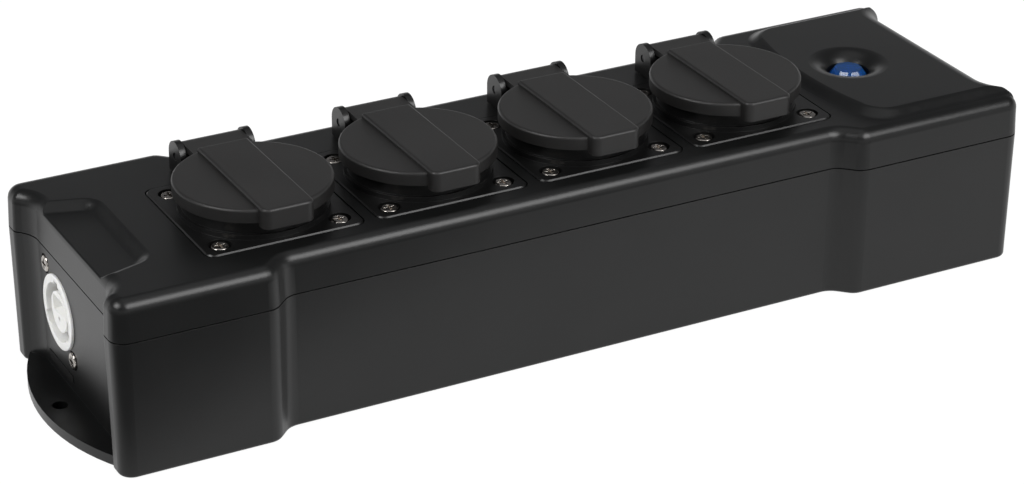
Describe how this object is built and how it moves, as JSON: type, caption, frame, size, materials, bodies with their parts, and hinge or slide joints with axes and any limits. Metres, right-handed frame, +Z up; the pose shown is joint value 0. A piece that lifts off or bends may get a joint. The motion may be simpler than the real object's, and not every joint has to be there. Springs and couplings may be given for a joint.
{
  "type": "power distribution box",
  "caption": "Long moulded power distribution box with lidded panel sockets along its deck, a twist-lock mains connector in each end, a pilot lamp and mounting ears.",
  "frame": {"origin": "middle of the underside", "axes": "+X along the box from the outlet end to the lamp end, +Y to the hinge side, +Z up out of the sockets"},
  "size_m": [0.3256, 0.0908, 0.0686],
  "materials": {
    "housing_plastic": "fine moulded texture, matt black",
    "socket_plastic": "satin moulded black",
    "lid_plastic": "fine moulded texture, black",
    "seal_rubber": "soft moulded black",
    "cap_plastic": "moulded",
    "brass": "stamped, bare",
    "earth_brass": "stamped, nickel plated",
    "nickel_steel": "nickel plated",
    "spring_steel": "drawn wire",
    "outlet_white": "moulded white",
    "inlet_blue": "moulded blue",
    "lens_blue": "clear tinted blue",
    "led_clear": "clear",
    "line_insulation": "brown insulation",
    "neutral_insulation": "blue insulation",
    "earth_insulation": "green and yellow insulation",
    "lead_insulation": "thin black insulation"
  },
  "bodies": {
    "housing": {"upper_cover": "housing_plastic", "lower_tray": "housing_plastic", "socket_body_1": "socket_plastic", "socket_body_2": "socket_plastic", "socket_body_3": "socket_plastic", "socket_body_4": "socket_plastic", "flange_gasket_1": "seal_rubber", "flange_gasket_2": "seal_rubber", "flange_gasket_3": "seal_rubber", "flange_gasket_4": "seal_rubber", "rear_cap_1": "cap_plastic", "rear_cap_2": "cap_plastic", "rear_cap_3": "cap_plastic", "rear_cap_4": "cap_plastic", "pilot_holder": "cap_plastic", "pilot_ring": "cap_plastic", "pole_contacts_1": "brass", "pole_contacts_2": "brass", "pole_contacts_3": "brass", "pole_contacts_4": "brass", "outlet_contacts": "brass", "inlet_contacts": "brass", "earth_clip_1": "earth_brass", "earth_clip_2": "earth_brass", "earth_clip_3": "earth_brass", "earth_clip_4": "earth_brass", "flange_screws": "nickel_steel", "connector_screws": "nickel_steel", "case_screws": "nickel_steel", "terminal_screws": "nickel_steel", "hinge_pin_1": "nickel_steel", "hinge_pin_2": "nickel_steel", "hinge_pin_3": "nickel_steel", "hinge_pin_4": "nickel_steel", "lid_spring_1": "spring_steel", "lid_spring_2": "spring_steel", "lid_spring_3": "spring_steel", "lid_spring_4": "spring_steel", "outlet_body": "outlet_white", "inlet_body": "inlet_blue", "pilot_lens": "lens_blue", "pilot_led": "led_clear", "line_wires": "line_insulation", "neutral_wires": "neutral_insulation", "earth_wires": "earth_insulation", "lamp_leads": "lead_insulation"},
    "lid_1": {"lid_1": "lid_plastic", "lid_seal_1": "seal_rubber"},
    "lid_2": {"lid_2": "lid_plastic", "lid_seal_2": "seal_rubber"},
    "lid_3": {"lid_3": "lid_plastic", "lid_seal_3": "seal_rubber"},
    "lid_4": {"lid_4": "lid_plastic", "lid_seal_4": "seal_rubber"}
  },
  "joints": [
    {"name": "lid_1_hinge", "type": "hinge", "parent": "housing", "child": "lid_1", "pos_m": [-0.09495, 0.0254, 0.063], "axis": [-1, 0, 0], "range_deg": [0, 110], "stiffness_Nm_per_rad": 0.0104, "springref_deg": -57.3},
    {"name": "lid_2_hinge", "type": "hinge", "parent": "housing", "child": "lid_2", "pos_m": [-0.04075, 0.0254, 0.063], "axis": [-1, 0, 0], "range_deg": [0, 110], "stiffness_Nm_per_rad": 0.0104, "springref_deg": -57.3},
    {"name": "lid_3_hinge", "type": "hinge", "parent": "housing", "child": "lid_3", "pos_m": [0.01345, 0.0254, 0.063], "axis": [-1, 0, 0], "range_deg": [0, 110], "stiffness_Nm_per_rad": 0.0104, "springref_deg": -57.3},
    {"name": "lid_4_hinge", "type": "hinge", "parent": "housing", "child": "lid_4", "pos_m": [0.06765, 0.0254, 0.063], "axis": [-1, 0, 0], "range_deg": [0, 110], "stiffness_Nm_per_rad": 0.0104, "springref_deg": -57.3}
  ]
}
